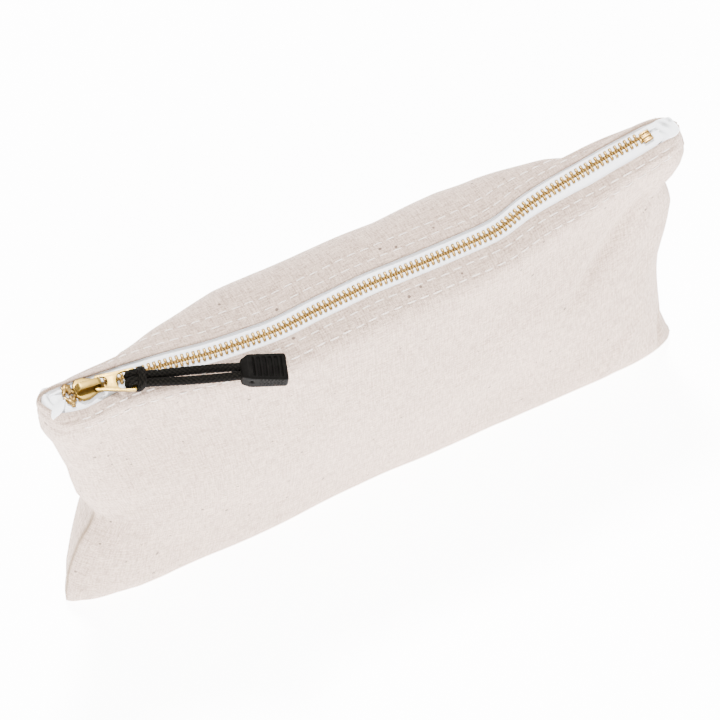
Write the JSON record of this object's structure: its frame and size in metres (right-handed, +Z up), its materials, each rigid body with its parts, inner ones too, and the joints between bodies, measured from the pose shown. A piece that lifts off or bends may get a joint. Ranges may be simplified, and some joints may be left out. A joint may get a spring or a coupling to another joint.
{
  "type": "zippered tool bag",
  "caption": "Flat canvas pouch plumped on its flattened bottom, closed along the top by a brass zipper with a slider, a tab and a corded grip, for carrying hand tools.",
  "frame": {"origin": "on the floor under the middle of the pouch's box", "axes": "+X along the zipper from the slider to the bottom stop, +Y to the back, +Z up"},
  "size_m": [0.3179, 0.0814, 0.1669],
  "materials": {
    "canvas": "natural unbleached plain-weave canvas",
    "tape": "white woven zipper tape",
    "teeth_brass": "satin brass",
    "slider_brass": "polished pale brass",
    "cord": "black braided cord",
    "grip": "black moulded plastic"
  },
  "bodies": {
    "bag": {"front_panel": "canvas", "back_panel": "canvas", "front_tape": "tape", "back_tape": "tape", "front_teeth": "teeth_brass", "back_teeth": "teeth_brass", "front_top_stop": "teeth_brass", "back_top_stop": "teeth_brass", "bottom_stop": "teeth_brass"},
    "slider": {"slider_body": "slider_brass", "slider_crown": "slider_brass"},
    "tab": {"pull_tab": "slider_brass"},
    "cord_pull": {"cord_hitch": "cord", "front_cord_strand": "cord", "back_cord_strand": "cord", "cord_knot": "cord", "grip_base": "grip", "grip_cover": "grip"}
  },
  "joints": [
    {"name": "slider_travel", "type": "hinge", "parent": "bag", "child": "slider", "pos_m": [0, 0.29721, 1.00407], "axis": [0, -0.9398, 0.3417], "range_deg": [0, 16.96], "deforming": ["front_teeth", "back_teeth", "front_tape", "back_tape"]},
    {"name": "pull_tab_pivot", "type": "hinge", "parent": "slider", "child": "tab", "pos_m": [-0.1304, -0.01006, 0.16316], "axis": [-0.3489, -0.9364, -0.0385], "range_deg": [0, 100]},
    {"name": "cord_swing", "type": "hinge", "parent": "tab", "child": "cord_pull", "pos_m": [-0.11517, -0.01572, 0.16286], "axis": [-0.3489, -0.9364, -0.0385], "range_deg": [0, 20]}
  ]
}
